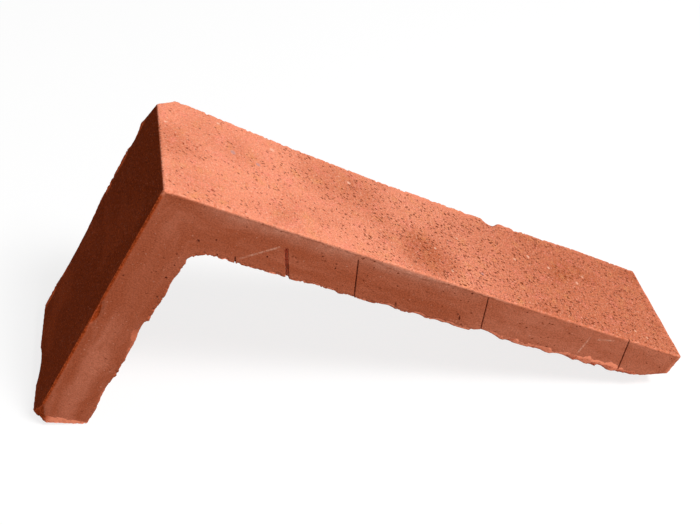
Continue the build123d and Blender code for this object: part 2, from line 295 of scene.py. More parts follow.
class Tree:
    """Adds nodes to a tree and links them, so that a pattern reads as a formula."""

    def __init__(self, tree):
        self.tree = tree

    def node(self, kind, inputs=None, **settings):
        """A new node. Each input, by name or number, gets a link or a value."""
        made = self.tree.nodes.new(kind)
        for name, value in settings.items():
            setattr(made, name, value)
        for name, value in (inputs or {}).items():
            self.feed(made.inputs[name], value)
        return made

    def feed(self, socket, value):
        """Link a socket to another, or set its value."""
        if isinstance(value, bpy.types.NodeSocket):
            self.tree.links.new(value, socket)
        else:
            socket.default_value = value

    def math(self, operation, *values, clamp=False):
        """A Math node's result."""
        inputs = dict(enumerate(values))
        return self.node("ShaderNodeMath", inputs, operation=operation, use_clamp=clamp).outputs[0]

    def joined(self, operation, values, clamp):
        """The values joined from the left, two at a time."""
        result = values[0]
        for value in values[1:]:
            result = self.math(operation, result, value, clamp=clamp)
        return result

    def times(self, *values, clamp=False):
        """The product of the values."""
        return self.joined("MULTIPLY", values, clamp)

    def plus(self, *values, clamp=False):
        """The sum of the values."""
        return self.joined("ADD", values, clamp)

    def most(self, *values):
        """The largest of the values."""
        return self.joined("MAXIMUM", values, False)

    def least(self, first, second):
        """The smaller of two values."""
        return self.math("MINIMUM", first, second)

    def minus(self, first, second):
        """The first value less the second."""
        return self.math("SUBTRACT", first, second)

    def swing(self, value, reach):
        """A value from 0 to 1 made to swing about 0, over the reach in all."""
        return self.times(self.minus(value, 0.5), reach)

    def parts(self, vector):
        """The three parts of a vector."""
        return self.node("ShaderNodeSeparateXYZ", {0: vector}).outputs

    def combined(self, *parts):
        """A vector of three parts."""
        return self.node("ShaderNodeCombineXYZ", dict(enumerate(parts))).outputs[0]

    def length(self, vector):
        """How long a vector is."""
        return self.node("ShaderNodeVectorMath", {0: vector}, operation="LENGTH").outputs["Value"]

    def vector(self, operation, *values):
        """A Vector Math node's vector."""
        return self.node("ShaderNodeVectorMath", dict(enumerate(values)), operation=operation).outputs[0]

    def scaled(self, vector, factor):
        """A vector times a number."""
        made = self.node("ShaderNodeVectorMath", {0: vector, "Scale": factor}, operation="SCALE")
        return made.outputs[0]

    def step(self, value, low, high, to_low=0.0, to_high=1.0):
        """A smooth step of the value, from low to high."""
        inputs = {0: value, 1: low, 2: high, 3: to_low, 4: to_high}
        return self.node("ShaderNodeMapRange", inputs, interpolation_type="SMOOTHSTEP").outputs[0]

    def blend(self, factor, first, second):
        """The first colour turning into the second."""
        return self.node("ShaderNodeMix", {0: factor, 6: first, 7: second}, data_type="RGBA").outputs[2]

    def one_over(self, size):
        """One over a size, which may be a number or a socket."""
        if isinstance(size, bpy.types.NodeSocket):
            return self.math("DIVIDE", 1.0, size)
        return 1.0 / size

    def noise(self, place, size, detail=2.0, roughness=0.5):
        """Noise from 0 to 1 whose lumps are about as wide as the size."""
        inputs = {"Vector": place, "Scale": self.one_over(size), "Detail": detail, "Roughness": roughness}
        return self.node("ShaderNodeTexNoise", inputs).outputs["Fac"]

    def cells(self, place, size):
        """Voronoi cells: the nearest middle's distance in cell widths, and three chances of the cell."""
        made = self.node("ShaderNodeTexVoronoi", {"Vector": place, "Scale": self.one_over(size)})
        return made.outputs["Distance"], self.parts(made.outputs["Color"])

    def cloudy(self, place, size, detail=2.0):
        """Noise of three parts, each from -0.5 to 0.5, whose lumps are about as wide as the size."""
        inputs = {"Vector": place, "Scale": self.one_over(size), "Detail": detail}
        noise = self.node("ShaderNodeTexNoise", inputs).outputs["Color"]
        return self.vector("SUBTRACT", noise, (0.5, 0.5, 0.5))

    def spots(self, place, size, chance, largest, edge=0.03):
        """Round spots in some of the cells: 1 inside. The chance is the share of cells that have one."""
        middle, own = self.cells(place, size)
        there = self.math("GREATER_THAN", own[0], self.minus(1.0, chance))
        radius = self.step(own[1], 0.0, 1.0, 0.3 * largest, largest)
        inside = self.step(self.minus(middle, radius), -edge, edge, 1.0, 0.0)
        return self.times(there, inside)

    def window(self, value, low, high, soft):
        """1 between low and high, fading outside them."""
        rise = self.step(value, low - soft, low)
        return self.times(rise, self.step(value, high, high + soft, 1.0, 0.0))


def new_modifier_tree(name, sizes):
    """A geometry tree with a named input for each size. Gives its nodes' maker and its inputs."""
    group = bpy.data.node_groups.new(name, "GeometryNodeTree")
    group.is_modifier = True
    group.interface.new_socket("Geometry", in_out="INPUT", socket_type="NodeSocketGeometry")
    for size, kind in sizes.items():
        group.interface.new_socket(size, in_out="INPUT", socket_type=kind)
    group.interface.new_socket("Geometry", in_out="OUTPUT", socket_type="NodeSocketGeometry")
    return Tree(group), group.nodes.new("NodeGroupInput").outputs


def end_tree(t, geometry, clay):
    """End a geometry tree in plain geometry of the clay."""
    plain = t.node("GeometryNodeRealizeInstances", {0: geometry})
    finished = t.node("GeometryNodeSetMaterial", {"Geometry": plain.outputs[0], "Material": clay})
    t.node("NodeGroupOutput", {0: finished.outputs[0]})
    return t.tree


def add_tree(piece, tree, values):
    """Put a geometry tree on the piece, with its inputs set by identifier."""
    modifier = piece.modifiers.new(tree.name, "NODES")
    modifier.node_group = tree
    inputs = [item for item in tree.interface.items_tree if item.in_out == "INPUT"]
    identifiers = {item.name: item.identifier for item in inputs}
    for name, value in values.items():
        modifier[identifiers[name]] = value


def settle(piece):
    """Turn the piece's modifiers into its plain mesh."""
    bpy.context.view_layer.update()
    shown = piece.evaluated_get(bpy.context.evaluated_depsgraph_get())
    mesh = bpy.data.meshes.new_from_object(shown)
    old = piece.data
    piece.modifiers.clear()
    piece.data = mesh
    mesh.name = piece.name
    if old.users == 0:
        bpy.data.meshes.remove(old)


# Body


def new_object(name, data):
    """An object of the mesh, lamp or camera, linked to the scene."""
    made = bpy.data.objects.new(name, data)
    bpy.context.scene.collection.objects.link(made)
    return made


def finish_mesh(build, name):
    """A new mesh of what was built."""
    mesh = bpy.data.meshes.new(name)
    build.to_mesh(mesh)
    build.free()
    return mesh


def closed_copy(axes):
    """The CAD solid's mesh with its doubles merged, in the slip's own axes."""
    mesh = frame["nodes"][NODE].data.copy()
    mesh.materials.clear()
    build = bmesh.new()
    build.from_mesh(mesh)
    bmesh.ops.remove_doubles(build, verts=build.verts, dist=0.001 * MM)
    build.to_mesh(mesh)
    build.free()
    mesh.transform(axes.inverted())
    return mesh


def smooth_step(value, low, high):
    """Numpy's smooth step from low to high."""
    share = np.clip((value - low) / (high - low), 0.0, 1.0)
    return share * share * (3.0 - 2.0 * share)


def within_ends(points, sizes):
    """How far each point lies within the long leg's end and the short leg's end."""
    u, v, w = points.T
    share = w / sizes.bed_height
    long_extra = sizes.long_front + (sizes.long_rear - sizes.long_front) * share
    short_extra = sizes.short_front + (sizes.short_rear - sizes.short_front) * share
    return np.stack([
        sizes.long_leg + long_extra * (1.0 - v / sizes.thickness) - u,
        sizes.short_leg + short_extra * (1.0 - u / sizes.short_thickness) - v,
    ])


def plain_distances(points, sizes):
    """Each point's distance to the long face, short face, front bed, rear bed and backs."""
    u, v, w = points.T
    share = np.clip((u - sizes.bow_start) / (sizes.bow_end - sizes.bow_start), 0.0, 1.0)
    rear = sizes.bed_height - sizes.bow_drop * share - 4 * sizes.bow_depth * share * (1 - share)
    radius = sizes.hollow_radius
    centre_u, centre_v = sizes.short_thickness + radius, sizes.thickness + radius
    hollow = np.abs(np.hypot(u - centre_u, v - centre_v) - radius)
    long_back, short_back = np.abs(v - sizes.thickness), np.abs(u - sizes.short_thickness)
    backs = np.where(u > centre_u, long_back, np.where(v > centre_v, short_back, hollow))
    off_rear = np.where(w > rear, np.maximum(w - rear - sizes.swell_height, 0.0), rear - w)
    return np.stack([np.abs(v), np.abs(u), np.abs(w), off_rear, backs])


def read_points(mesh):
    """The mesh's vertices as rows of u, v and w."""
    points = np.empty(3 * len(mesh.vertices), np.float32)
    mesh.vertices.foreach_get("co", points)
    return points.reshape(-1, 3).astype(float)


def write_points(mesh, points):
    """Put the rows back as the mesh's vertices."""
    mesh.vertices.foreach_set("co", points.astype(np.float32).ravel())
    mesh.update()


def mark_clay(mesh, sizes):
    """Vertex masks: the outer faces, the beds, the arrises and the broken clay."""
    points = read_points(mesh)
    away = plain_distances(points, sizes)
    near = 1.0 - smooth_step(away, *OF_FACE)
    beside = 1.0 - smooth_step(away, *OF_ARRIS)
    outer = np.maximum(beside[0], beside[1])
    at_end = 1.0 - smooth_step(within_ends(points, sizes).min(axis=0), *OF_END)
    masks = {
        "long_face": near[0],
        "short_face": near[1],
        "bed": np.maximum(near[2], near[3]),
        "front_arris": np.minimum(outer, beside[2]),
        "rear_arris": np.minimum(outer, beside[3]),
        "back_arris": np.minimum(np.maximum(beside[2], beside[3]), beside[4]),
        "end_arris": np.minimum(at_end, beside.max(axis=0)),
        "broken": smooth_step(away.min(axis=0), *OF_BREAK),
    }
    write_masks(mesh, masks)


def write_masks(mesh, masks):
    """Put the masks on the mesh's vertices, as attributes of their names."""
    for name, mask in masks.items():
        attribute = mesh.attributes.get(name) or mesh.attributes.new(name, "FLOAT", "POINT")
        attribute.data.foreach_set("value", mask.astype(np.float32))


def in_grooves(points):
    """Whether each point lies in or beside a groove."""
    near = np.zeros(len(points), bool)
    for u, v, width, _, reach, slant in GROOVES:
        along = np.array([sin(radians(slant)), cos(radians(slant))])
        rest = points[:, :2] - np.array([u, v]) * MM
        share = np.clip(rest @ along, 0.0, reach * MM)
        near |= np.hypot(*(rest - share[:, None] * along).T) < width * MM
    return near


def mark_torn_rim(mesh, sizes):
    """Vertex mask that falls from 1 at the back's torn clay to 0 at the rim's reach."""
    points = read_points(mesh)
    away = plain_distances(points, sizes)
    by_back = (points[:, 0] < RIM_END) & (points[:, 1] > sizes.thickness - RIM_REACH)
    by_back &= ~in_grooves(points)
    torn = np.where(by_back & ((away.min(axis=0) > RIM_TORN) | (away[4] < RIM_BACK)))[0]
    tree = KDTree(len(torn))
    for i in torn:
        tree.insert(points[i], i)
    tree.balance()
    reach = np.zeros(len(points))
    for i in np.where((away[2] < RIM_BED) | (away[3] < RIM_BED))[0]:
        reach[i] = max(0.0, 1.0 - tree.find(points[i])[2] / RIM_REACH)
    write_masks(mesh, {"torn_rim": reach})


def named_mask(t, name):
    """A vertex mask as a field of a geometry tree."""
    return t.node("GeometryNodeInputNamedAttribute", {"Name": name}, data_type="FLOAT").outputs["Attribute"]


def lip(t, place):
    """The lip that wavers along the front bed's long arris: 1 on it, and 1 along its foot, where shade is
    painted.

    The place is in millimetres. The lip is widest at its bulge.
    """
    u, v, w = t.parts(place)
    middle, reach, bulge_width, plain_width = LIP_BULGE
    from_bulge = t.math("ABSOLUTE", t.minus(u, middle))
    width = t.step(from_bulge, 0.0, reach, bulge_width, plain_width)
    waver = t.swing(t.noise(place, 7.0, 3.0, 0.6), 2.2)
    past = t.minus(v, t.plus(width, waver))
    there = t.times(t.window(u, *LIP, 16.0), t.step(w, 0.3, 0.9, 1.0, 0.0))
    on_lip = t.times(t.step(past, -0.2, 0.2, 1.0, 0.0), there)
    foot_shade = t.times(t.window(past, 0.15, 0.45, 0.25), there)
    return on_lip, foot_shade


def past_foot_break(t, place):
    """How far the place lies past the break along the short leg's foot, on the front bed.

    The place and the result are in millimetres.
    """
    u, v, w = t.parts(place)
    start, slope = FOOT_BREAK
    line = t.plus(t.times(u, slope), start)
    waver = t.swing(t.noise(place, 2.5, 3.0, 0.6), 1.8)
    past = t.minus(v, t.plus(line, waver))
    return t.times(past, t.step(w, 2.5, 4.0, 1.0, 0.0))


def relief_tree(clay):
    """Geometry tree that gives the clay its hollows, grain, lip, swell, nicks and ragged breaks."""
    inputs = (
        "Wave Size", "Wave Depth", "Grain Size", "Grain Depth", "Lip Height", "Swell Height",
        "Ragged Size", "Ragged Depth", "Nick Size", "Nick Depth",
    )
    t, given = new_modifier_tree("clay_relief", {name: "NodeSocketFloat" for name in inputs})
    place = t.node("GeometryNodeInputPosition").outputs[0]
    in_mm = t.scaled(place, 1.0 / MM)
    u, v, w = t.parts(in_mm)

    # Gentle hollows everywhere, and grain, which is strongest on the outer faces
    waves = t.swing(t.noise(place, given["Wave Size"]), given["Wave Depth"])
    sanded = t.most(named_mask(t, "long_face"), named_mask(t, "short_face"))
    rough = t.plus(0.3, t.times(sanded, 0.7))
    grain = t.swing(t.noise(place, given["Grain Size"], 4.0, 0.6), given["Grain Depth"])
    grain = t.times(grain, rough)

    # The front bed lies lower than its lip, and falls away past the break along the short leg's foot
    low = t.minus(1.0, lip(t, in_mm)[0])
    low = t.times(low, t.times(named_mask(t, "bed"), t.step(w, 5.0, 10.0, 1.0, 0.0)))
    low = t.times(low, given["Lip Height"])
    foot = t.times(t.most(past_foot_break(t, in_mm), 0.0), 0.1 * MM)
    low = t.plus(low, t.times(foot, named_mask(t, "bed")))

    # The rear bed swells outwards halfway along the long leg
    swell = t.times(t.window(u, *SWELL, 22.0), t.step(w, 42.0, 45.0))
    swell = t.times(swell, t.times(given["Swell Height"], -1.0))

    # Broken clay: angular lumps that stand proud and sink in, with finer crumbs over them
    flat, chances = t.cells(place, given["Ragged Size"])
    lumps = t.plus(t.times(flat, 0.5), t.times(chances[0], 0.5))
    crumbs = t.noise(place, t.times(given["Ragged Size"], 0.3), 3.0, 0.65)
    lumps = t.plus(t.times(lumps, 0.6), t.times(crumbs, 0.4))
    ragged = t.times(t.minus(lumps, 0.42), given["Ragged Depth"])
    ragged = t.times(ragged, named_mask(t, "broken"))

    # Nicks: few on the front arrises, more on the rear ones, most beside the backs
    worn = t.step(t.noise(place, given["Nick Size"], 4.0, 0.7), 0.46, 0.64, -0.45, 0.75)
    on_front = t.times(named_mask(t, "front_arris"), t.step(u, 1.0, 3.0, 0.08, 0.3))
    on_rear = t.times(named_mask(t, "rear_arris"), 0.7)
    share = t.most(on_front, on_rear, named_mask(t, "back_arris"))
    nicks = t.times(worn, given["Nick Depth"], share)

    depth = t.plus(t.plus(waves, grain), t.plus(nicks, t.plus(low, swell)))
    depth = t.plus(depth, ragged)
    inward = t.scaled(t.node("GeometryNodeInputNormal").outputs[0], t.times(depth, -1.0))
    moved = t.node("GeometryNodeSetPosition", {"Geometry": given["Geometry"], "Offset": inward})
    return end_tree(t, moved.outputs[0], clay)


def cutting_tree(name, clay, masks, elongation, lift):
    """Geometry tree that strews uneven pebbles over the masked clay and cuts their shapes out of it.

    Each mask has a weight for how densely the pebbles lie there. A pebble is longer than wide by the
    elongation, and its middle is lifted off the clay by a share of its radius.
    """
    t, given = new_modifier_tree(
        name, {"Radius": "NodeSocketFloat", "Density": "NodeSocketFloat", "Seed": "NodeSocketInt"}
    )
    there = 0.0
    for mask, weight in masks.items():
        there = t.most(there, t.times(t.step(named_mask(t, mask), 0.6, 0.9), weight))
    points = t.node(
        "GeometryNodeDistributePointsOnFaces",
        {
            "Mesh": given["Geometry"],
            "Distance Min": t.times(given["Radius"], 2.0),
            "Density Max": given["Density"],
            "Density Factor": there,
            "Seed": given["Seed"],
        },
        distribute_method="POISSON",
    )
    chance = t.node("FunctionNodeRandomValue", {2: 0.0, 3: 1.0, "Seed": given["Seed"]}, data_type="FLOAT")
    share = t.step(chance.outputs[1], 0.0, 1.0, 0.25, 1.0)
    radius = t.times(share, given["Radius"])
    raised = t.node("GeometryNodeSetPosition", {
        "Geometry": points.outputs["Points"],
        "Offset": t.scaled(points.outputs["Normal"], t.times(radius, lift)),
    })
    turn = t.node(
        "FunctionNodeRandomValue", {0: (0.0, 0.0, 0.0), 1: (2 * pi, 2 * pi, 2 * pi), "Seed": given["Seed"]},
        data_type="FLOAT_VECTOR",
    )
    pebble = t.node("GeometryNodeMeshIcoSphere", {"Radius": 1.0, "Subdivisions": 1})
    placed = t.node("GeometryNodeInstanceOnPoints", {
        "Points": raised.outputs[0], "Instance": pebble.outputs["Mesh"], "Rotation": turn.outputs[0],
        "Scale": t.scaled((elongation, 1.0, 0.8), radius),
    })
    whole = t.node("GeometryNodeRealizeInstances", {0: placed.outputs[0]})
    place = t.node("GeometryNodeInputPosition").outputs[0]
    uneven = t.scaled(t.cloudy(place, given["Radius"]), given["Radius"])
    cutters = t.node("GeometryNodeSetPosition", {"Geometry": whole.outputs[0], "Offset": uneven})
    cut = t.node(
        "GeometryNodeMeshBoolean", {"Mesh 1": given["Geometry"], "Mesh 2": cutters.outputs[0]},
        operation="DIFFERENCE", solver="MANIFOLD",
    )
    return end_tree(t, cut.outputs[0], clay)


def cut_out(body, sizes, tree, radius, density, seed):
    """Mark the body afresh and cut the tree's pebbles out of it."""
    mark_clay(body.data, sizes)
    add_tree(body, tree, {"Radius": radius, "Density": density, "Seed": seed})
    settle(body)


def keep_in_block(mesh, sizes):
    """Hold the relief inside the plain L: nothing passes its outer faces, beds, backs and ends."""
    points = read_points(mesh)
    np.maximum(points, 0.0, out=points)
    points[:, 2] = np.minimum(points[:, 2], sizes.bed_height)
    past = (points[:, 0] > sizes.short_thickness) & (points[:, 1] > sizes.thickness)
    past_long = past & (points[:, 0] > sizes.short_thickness + sizes.hollow_radius)
    past_short = past & (points[:, 1] > sizes.thickness + sizes.hollow_radius)
    points[past_long, 1] = sizes.thickness
    points[past_short, 0] = sizes.short_thickness
    within = np.minimum(within_ends(points, sizes), 0.0)
    points[:, 0] += np.where(points[:, 0] > points[:, 1], within[0], 0.0)
    points[:, 1] += np.where(points[:, 1] > points[:, 0], within[1], 0.0)
    write_points(mesh, points)


def keep_in_box(mesh, low, high):
    """Hold the placed mesh inside the CAD box."""
    write_points(mesh, np.clip(read_points(mesh), np.array(low), np.array(high)))


def pit_stones():
    """One mesh of the uneven stones that cut the single pits and the scallops."""
    build = bmesh.new()
    chance = np.random.default_rng(STONE_SEED)
    places = [((u, 0.0, w), radius) for u, w, radius in FACE_PITS]
    places += [((u, v, 0.0), radius) for u, v, radius in BED_PITS]
    for place, radius in places:
        made = bmesh.ops.create_icosphere(build, subdivisions=2, radius=1.0)["verts"]
        turn = Euler(2 * pi * chance.random(3)).to_matrix()
        for vertex in made:
            uneven = radius * (0.75 + 0.5 * chance.random())
            stone = Vector((vertex.co.x * 1.3, vertex.co.y, vertex.co.z * 0.8))
            vertex.co = (turn @ stone * uneven + Vector(place)) * MM
    for place, halves in SCALLOPS:
        made = bmesh.ops.create_icosphere(build, subdivisions=4, radius=1.0)["verts"]
        for vertex in made:
            uneven = 0.9 + 0.2 * chance.random()
            vertex.co = (Vector(a * b for a, b in zip(vertex.co, halves)) * uneven + Vector(place)) * MM
    return finish_mesh(build, "pit_stones")


def cut_with(body, name, mesh):
    """Cut a closed mesh out of the body."""
    cutter = new_object(name, mesh)
    cutting = body.modifiers.new(name, "BOOLEAN")
    cutting.operation, cutting.solver, cutting.object = "DIFFERENCE", "MANIFOLD", cutter
    settle(body)
    bpy.data.objects.remove(cutter)


def groove_blades():
    """One mesh of all the blades that cut the grooves, each a closed bar with uneven walls."""
    build = bmesh.new()
    chance = np.random.default_rng(BLADE_SEED)
    for u, v, width, depth, reach, slant in GROOVES:
        along = Vector((sin(radians(slant)), cos(radians(slant)), 0.0))
        aside = Vector((along.y, -along.x, 0.0))
        count = max(3, int(reach / BLADE_STEP))
        rings = []
        for step in range(count + 1):
            share = step / count
            half = width / 2 * (0.75 + 0.4 * chance.random()) * min(1.0, 0.45 + 3 * share)
            sway = width * 0.18 * (chance.random() - 0.5)
            deep = depth * (0.85 + 0.3 * chance.random()) * min(1.0, 0.3 + 4 * share)
            middle = Vector((u, v, 0.0)) + along * (reach * share) + aside * sway
            corners = [(-half, -1.0), (half, -1.0), (half * 0.55, deep), (-half * 0.55, deep)]
            places = [middle + aside * x + Vector((0, 0, y)) for x, y in corners]
            rings.append([build.verts.new(place * MM) for place in places])
        for before, after in zip(rings, rings[1:]):
            for i in range(4):
                build.faces.new((before[i], before[i - 1], after[i - 1], after[i]))
        build.faces.new(rings[0])
        build.faces.new(rings[-1][::-1])
    bmesh.ops.recalc_face_normals(build, faces=build.faces)
    return finish_mesh(build, "groove_blades")


def drop_crumbs(mesh):
    """Keep only the largest connected part of a mesh."""
    build = bmesh.new()
    build.from_mesh(mesh)
    unseen, parts = set(build.verts), []
    while unseen:
        front, part = [unseen.pop()], []
        while front:
            vertex = front.pop()
            part.append(vertex)
            for edge in vertex.link_edges:
                other = edge.other_vert(vertex)
                if other in unseen:
                    unseen.discard(other)
                    front.append(other)
        parts.append(part)
    parts.sort(key=len)
    bmesh.ops.delete(build, geom=[vertex for part in parts[:-1] for vertex in part], context="VERTS")
    build.to_mesh(mesh)
    build.free()


# Fired clay


def near_line(t, place, start, end, width):
    """1 within the width of a line on the front bed, fading to 0."""
    start, end = Vector((*start, 0.0)), Vector((*end, 0.0))
    run = end - start
    rest = t.vector("SUBTRACT", place, start)
    share = t.node("ShaderNodeVectorMath", {0: rest, 1: run / run.length_squared}, operation="DOT_PRODUCT")
    share = t.times(share.outputs["Value"], 1.0, clamp=True)
    off = t.vector("SUBTRACT", rest, t.scaled(run, share))
    far = t.length(off)
    return t.step(far, width * 0.3, width, 1.0, 0.0)


def frayed(t, place, size, reach):
    """The place shifted about by noise, so that round outlines turn ragged."""
    return t.vector("ADD", place, t.scaled(t.cloudy(place, size, 3.0), reach))


def placed_spots(t, place, spots, soft, on_bed=False):
    """How much of the placed spots is here, on the long face or on the front bed.

    Each spot is u, then w on the face or v on the bed, then its radius and perhaps a strength.
    """
    amount = 0.0
    for u, second, radius, *strength in spots:
        middle = (u, second, 0.0) if on_bed else (u, 0.0, second)
        flat = (1.0, 1.0, 0.4) if on_bed else (1.0, 0.4, 1.0)
        off = t.vector("MULTIPLY", t.vector("SUBTRACT", place, middle), flat)
        far = t.length(off)
        top = strength[0] if strength else 1.0
        inside = t.step(far, radius * (1 - soft), radius * (1 + soft), top, 0.0)
        amount = t.most(amount, inside)
    return amount


class ClayTree(Tree):
    """Nodes of the fired clay, with the places and noises that its layers share, in millimetres."""

    def __init__(self, tree, colours, axes):
        super().__init__(tree)
        self.colours = colours
        coordinates = self.node("ShaderNodeTexCoord").outputs["Object"]
        own = self.node(
            "ShaderNodeMapping",
            {"Vector": coordinates, "Location": axes.to_translation(), "Rotation": axes.to_euler()},
            vector_type="TEXTURE",
        )
        self.place = self.scaled(own.outputs[0], 1.0 / MM)
        self.u, self.v, self.w = self.parts(self.place)
        self.ragged = frayed(self, self.place, 0.8, 1.1)
        self.dust = self.noise(self.place, 0.6, 2.0, 0.8)
        self.fine = self.noise(self.place, 0.9, 3.0, 0.7)
        self.grain = self.noise(self.place, 2.0, 4.0, 0.7)
        self.patches = self.noise(self.place, 6.0, 3.0, 0.6)
        self.clouds = self.noise(self.place, 26.0, 4.0, 0.6)

    def mask(self, name):
        """One of the mesh's vertex masks."""
        return self.node("ShaderNodeAttribute", attribute_name=name).outputs["Fac"]

    def shade(self, name):
        """One of the clay's colours."""
        return (*getattr(self.colours, name), 1.0)

    def paint(self, base, amount, name):
        """The base with the amount of a colour over it."""
        return self.blend(amount, base, self.shade(name))


def long_face_colour(t):
    """Long outer face: blotches, painted shade that darkens the far end, patches of two hues, and grain."""
    # The step along u is painted shade that darkens the far end; the clouds are the clay's own tone.
    deep = t.plus(t.step(t.clouds, 0.48, 0.75, 0.0, 0.4), t.step(t.u, *FAR_END_SHADE, 0.0, 0.62))
    deep = t.most(deep, placed_spots(t, frayed(t, t.place, 15.0, 12.0), BLOTCHES, 0.7))
    face = t.blend(t.least(deep, 0.9), t.shade("long_face"), t.shade("long_face_deep"))
    face = t.paint(face, t.step(t.patches, 0.52, 0.75, 0.0, 0.55), "ochre")
    face = t.paint(face, t.step(t.patches, 0.48, 0.25, 0.0, 0.5), "pink")
    face = t.paint(face, t.step(t.grain, 0.50, 0.72, 0.0, 0.55), "long_face_deep")
    return t.paint(face, t.step(t.fine, 0.52, 0.30, 0.0, 0.30), "fleck")


def bed_colour(t):
    """Beds: smears that follow both legs, then the lip, the haze beside it, and the scratches."""
    bent_u, bent_v, _ = t.parts(frayed(t, t.place, 12.0, 9.0))
    across = t.least(bent_u, bent_v)
    along = t.minus(bent_u, bent_v)
    streaks = t.combined(across, t.times(along, 0.2), t.w)
    smears = t.step(t.noise(streaks, 5.0, 4.0, 0.6), 0.38, 0.66, 0.0, 0.6)

    # Paler along the middle of the short leg and towards the far end, and darker beside that middle
    on_leg = t.times(t.step(along, -10.0, 12.0, 1.0, 0.0), t.step(along, -66.0, -30.0, 0.6, 0.2))
    band = t.times(t.window(across, 7.5, 10.0, 3.5), on_leg)
    paler = t.most(band, t.step(t.u, 105.0, 145.0, 0.0, 0.5))
    smeared = t.plus(t.times(smears, 0.6), paler, clamp=True)
    bed = t.blend(smeared, t.shade("bed"), t.shade("bed_light"))
    darker = t.times(t.window(along, -42.0, -14.0, 12.0), t.step(across, 16.0, 12.0, 0.0, 0.55))
    bed = t.paint(bed, t.most(t.step(t.patches, 0.50, 0.72, 0.0, 0.45), darker), "bed")
    bed = t.paint(bed, t.step(t.grain, 0.50, 0.72, 0.0, 0.40), "bed")
    bed = t.paint(bed, t.step(t.fine, 0.48, 0.25, 0.0, 0.35), "bed_light")
    return scratched(t, lipped(t, bed))


def lipped(t, bed):
    """The bed with its pale lip beside the long arris, partly painted highlight, a painted highlight on the
    bed beside the lip, and painted shade along the lip's foot.
    """
    on_lip, foot_shade = lip(t, t.place)
    # Painted highlight: a pale band on the bed beside its long arris.
    arris_highlight = t.times(t.step(t.v, 0.5, 7.0, 0.75, 0.0), t.window(t.u, 28.0, 104.0, 22.0))
    arris_highlight = t.times(arris_highlight, t.step(t.patches, 0.35, 0.6, 1.0, 0.55))
    bed = t.paint(bed, t.most(arris_highlight, t.times(on_lip, t.step(t.grain, 0.35, 0.6, 0.95, 0.6))), "lip")
    # Painted shade along the lip's foot.
    return t.paint(bed, t.times(foot_shade, t.step(t.grain, 0.35, 0.6, 0.0, 0.28)), "groove")


def scratched(t, bed):
    """The bed with its pale scratches."""
    for start, end in SCRATCHES:
        scratch = t.times(near_line(t, t.place, start, end, 0.6), t.step(t.grain, 0.40, 0.6, 0.05, 0.30))
        bed = t.paint(bed, scratch, "fleck")
    return bed


def header_colour(t):
    """Short outer face, the darkest: partly the clay's own tone and partly painted shade."""
    header = t.paint(t.shade("short_face"), t.step(t.grain, 0.5, 0.75, 0.0, 0.20), "toe")
    header = t.paint(header, t.step(t.patches, 0.5, 0.75, 0.0, 0.12), "bed")
    header = t.paint(header, t.step(t.fine, 0.52, 0.68, 0.0, 0.40), "toe")
    return t.paint(header, t.step(t.clouds, 0.48, 0.65, 0.0, 0.12), "toe")


def sound_colour(t, bed):
    """Sound clay of the backs, beds and outer faces."""
    back = t.paint(t.shade("back"), t.step(t.grain, 0.45, 0.75, 0.0, 0.6), "long_face_deep")
    base = t.blend(t.mask("bed"), back, bed)
    base = t.blend(t.mask("short_face"), base, header_colour(t))
    return t.blend(t.mask("long_face"), base, long_face_colour(t))


def dusted(t, base):
    """The base dusted with darker grains, faint at the corner and stronger towards the far end."""
    faint = t.step(t.u, *DUSTING, 0.84, 0.62)
    faint = t.plus(faint, t.times(t.mask("bed"), t.step(t.u, *DUSTING, 0.0, 0.14)))
    faint = t.minus(faint, t.times(t.mask("short_face"), 0.35))
    return t.scaled(base, t.step(t.dust, 0.36, 0.60, faint, 1.10))


def dark_specks(t):
    """How much painted pore shade is here, as dark specks of pores and nicks too small for the mesh. Specks
    are drawn out and in clusters, with more towards the far end.
    """
    drawn = t.combined(
        t.plus(t.times(t.u, 0.58), t.times(t.w, -0.28)),
        t.v,
        t.plus(t.times(t.u, 0.44), t.times(t.w, 0.90)),
    )
    drawn = frayed(t, drawn, 0.6, 0.5)
    crowd = t.plus(t.noise(t.place, 9.0, 3.0, 0.6), t.step(t.u, 10.0, 120.0, -0.06, 0.10))
    crowd = t.times(t.step(crowd, 0.40, 0.61, 0.08, 1.0), t.step(t.mask("bed"), 0.0, 1.0, 1.0, 0.12))
    small = t.spots(drawn, 0.8, t.times(crowd, 0.85), 0.36, 0.06)
    large = t.spots(drawn, 1.7, t.times(crowd, 0.50), 0.23, 0.03)
    depth = t.plus(t.step(t.u, 20.0, 110.0, 0.48, 0.85), t.step(t.patches, 0.4, 0.6, 0.0, 0.15))
    marks = t.times(t.spots(t.ragged, 2.1, 0.25, 0.14, 0.04), t.mask("bed"))
    return t.most(t.times(t.most(small, large), depth), t.times(marks, 0.45))


def flecked(t, base):
    """The base with its pale flecks and the few grey-blue ones."""
    flecks = t.spots(t.ragged, 1.1, 0.22, 0.24, 0.06)
    flecks = t.times(flecks, t.step(t.mask("bed"), 0.0, 1.0, 0.7, 0.3))
    flecks = t.most(flecks, placed_spots(t, t.ragged, CREAM_FLECKS, 0.25))
    flecks = t.times(flecks, t.step(t.mask("short_face"), 0.0, 1.0, 1.0, 0.25))
    base = t.paint(base, t.times(flecks, 0.55), "fleck")
    return t.paint(base, t.times(placed_spots(t, t.ragged, BLUE_FLECKS, 0.4), 0.55), "blue_fleck")


